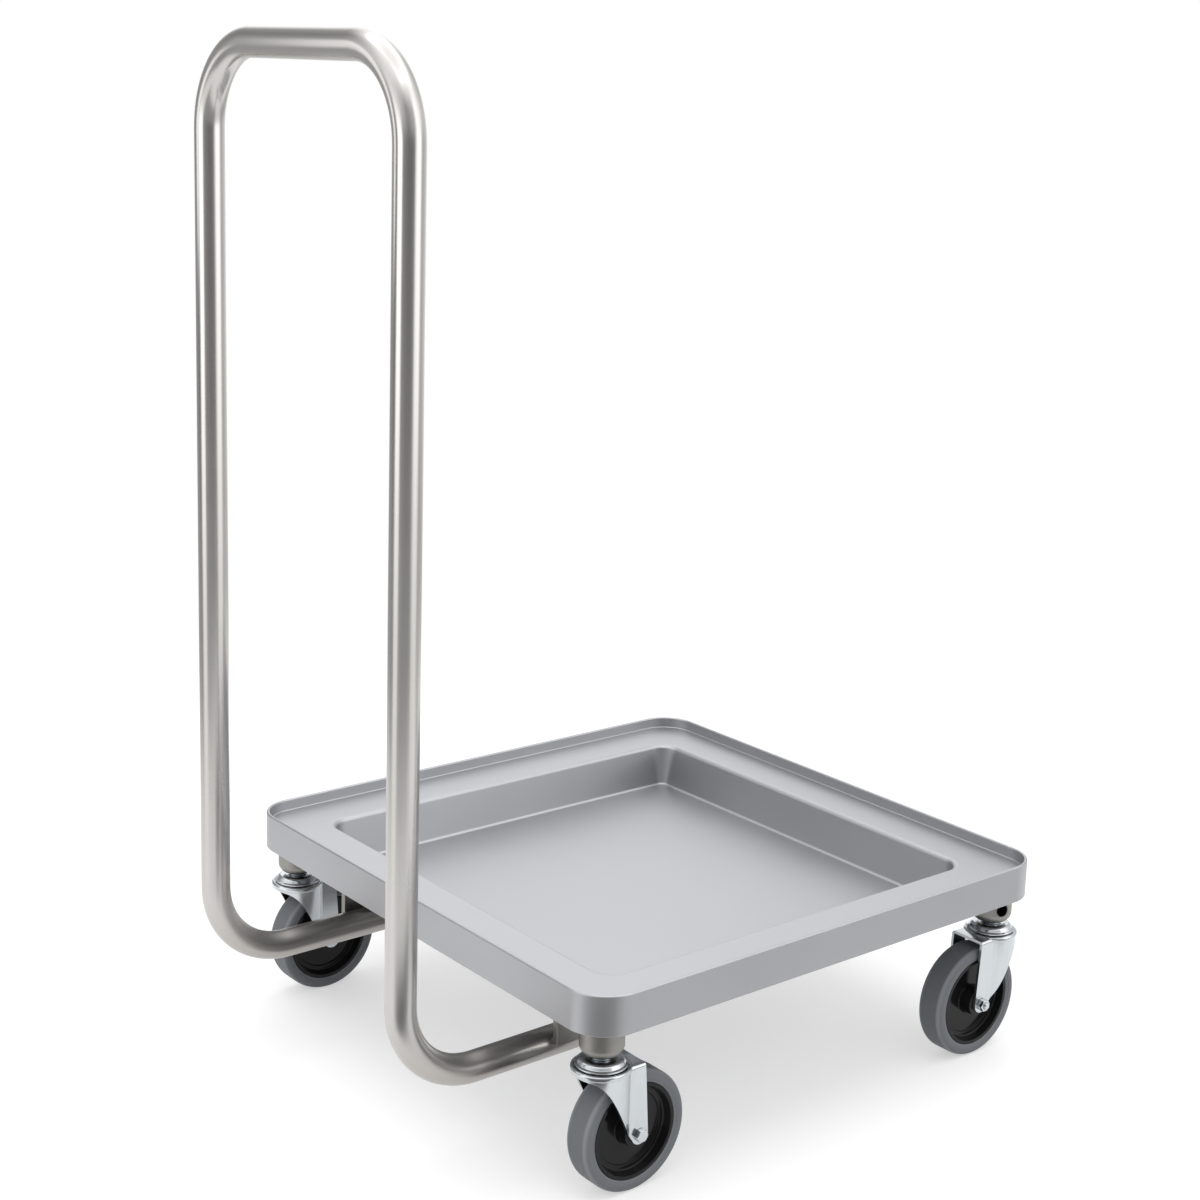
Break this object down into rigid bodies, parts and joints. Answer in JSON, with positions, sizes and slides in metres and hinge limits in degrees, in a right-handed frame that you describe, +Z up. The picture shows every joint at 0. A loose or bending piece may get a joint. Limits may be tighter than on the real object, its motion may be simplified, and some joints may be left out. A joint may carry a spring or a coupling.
{
  "type": "rack dolly",
  "caption": "Low square wheeled platform with a raised rim, a sunk middle pan and a tall bent push handle at one edge, for moving stacked dish racks.",
  "frame": {"origin": "on the floor, under the middle of the whole object's box", "axes": "+Z up, +Y from the handle towards the far edge of the deck, +X to the right of someone who pushes the handle"},
  "size_m": [0.52, 0.6344, 0.8994],
  "materials": {
    "stainless_sheet": "satin",
    "stainless_tube": "brushed lengthwise",
    "dull_steel": "dull",
    "bright_zinc": "bright plated",
    "bearing_steel": "ground",
    "black_plastic": "moulded, half gloss",
    "grey_rubber": "smooth, matt"
  },
  "bodies": {
    "frame": {"deck": "stainless_sheet", "handle": "stainless_tube", "bar_left": "dull_steel", "bar_right": "dull_steel", "end_plug_left": "black_plastic", "end_plug_right": "black_plastic", "socket_handle_left": "dull_steel", "stem_handle_left": "bright_zinc", "stem_nut_handle_left": "bright_zinc", "cap_handle_left": "bright_zinc", "dish_handle_left": "bright_zinc", "socket_handle_right": "dull_steel", "stem_handle_right": "bright_zinc", "stem_nut_handle_right": "bright_zinc", "cap_handle_right": "bright_zinc", "dish_handle_right": "bright_zinc", "socket_far_left": "dull_steel", "stem_far_left": "bright_zinc", "stem_nut_far_left": "bright_zinc", "cap_far_left": "bright_zinc", "dish_far_left": "bright_zinc", "socket_far_right": "dull_steel", "stem_far_right": "bright_zinc", "stem_nut_far_right": "bright_zinc", "cap_far_right": "bright_zinc", "dish_far_right": "bright_zinc"},
    "castor_handle_left": {"ball_ring_handle_left": "bearing_steel", "fork_handle_left": "bright_zinc", "axle_bolt_handle_left": "bright_zinc", "axle_nut_handle_left": "bright_zinc", "axle_sleeve_handle_left": "bearing_steel"},
    "wheel_handle_left": {"hub_handle_left": "black_plastic", "tyre_handle_left": "grey_rubber"},
    "castor_handle_right": {"ball_ring_handle_right": "bearing_steel", "fork_handle_right": "bright_zinc", "axle_bolt_handle_right": "bright_zinc", "axle_nut_handle_right": "bright_zinc", "axle_sleeve_handle_right": "bearing_steel"},
    "wheel_handle_right": {"hub_handle_right": "black_plastic", "tyre_handle_right": "grey_rubber"},
    "castor_far_left": {"ball_ring_far_left": "bearing_steel", "fork_far_left": "bright_zinc", "axle_bolt_far_left": "bright_zinc", "axle_nut_far_left": "bright_zinc", "axle_sleeve_far_left": "bearing_steel"},
    "wheel_far_left": {"hub_far_left": "black_plastic", "tyre_far_left": "grey_rubber"},
    "castor_far_right": {"ball_ring_far_right": "bearing_steel", "fork_far_right": "bright_zinc", "axle_bolt_far_right": "bright_zinc", "axle_nut_far_right": "bright_zinc", "axle_sleeve_far_right": "bearing_steel"},
    "wheel_far_right": {"hub_far_right": "black_plastic", "tyre_far_right": "grey_rubber"}
  },
  "joints": [
    {"name": "swivel_handle_left", "type": "hinge", "parent": "frame", "child": "castor_handle_left", "pos_m": [-0.2293, -0.1721, 0.111], "axis": [0, 0, 1], "continuous": true},
    {"name": "spin_handle_left", "type": "hinge", "parent": "castor_handle_left", "child": "wheel_handle_left", "pos_m": [-0.2293, -0.1451, 0.051], "axis": [1, 0, 0], "continuous": true},
    {"name": "swivel_handle_right", "type": "hinge", "parent": "frame", "child": "castor_handle_right", "pos_m": [0.2293, -0.1721, 0.111], "axis": [0, 0, 1], "continuous": true},
    {"name": "spin_handle_right", "type": "hinge", "parent": "castor_handle_right", "child": "wheel_handle_right", "pos_m": [0.2293, -0.1451, 0.051], "axis": [1, 0, 0], "continuous": true},
    {"name": "swivel_far_left", "type": "hinge", "parent": "frame", "child": "castor_far_left", "pos_m": [-0.2293, 0.2865, 0.111], "axis": [0, 0, 1], "continuous": true},
    {"name": "spin_far_left", "type": "hinge", "parent": "castor_far_left", "child": "wheel_far_left", "pos_m": [-0.2293, 0.2595, 0.051], "axis": [1, 0, 0], "continuous": true},
    {"name": "swivel_far_right", "type": "hinge", "parent": "frame", "child": "castor_far_right", "pos_m": [0.2293, 0.2865, 0.111], "axis": [0, 0, 1], "continuous": true},
    {"name": "spin_far_right", "type": "hinge", "parent": "castor_far_right", "child": "wheel_far_right", "pos_m": [0.2293, 0.2595, 0.051], "axis": [1, 0, 0], "continuous": true}
  ]
}
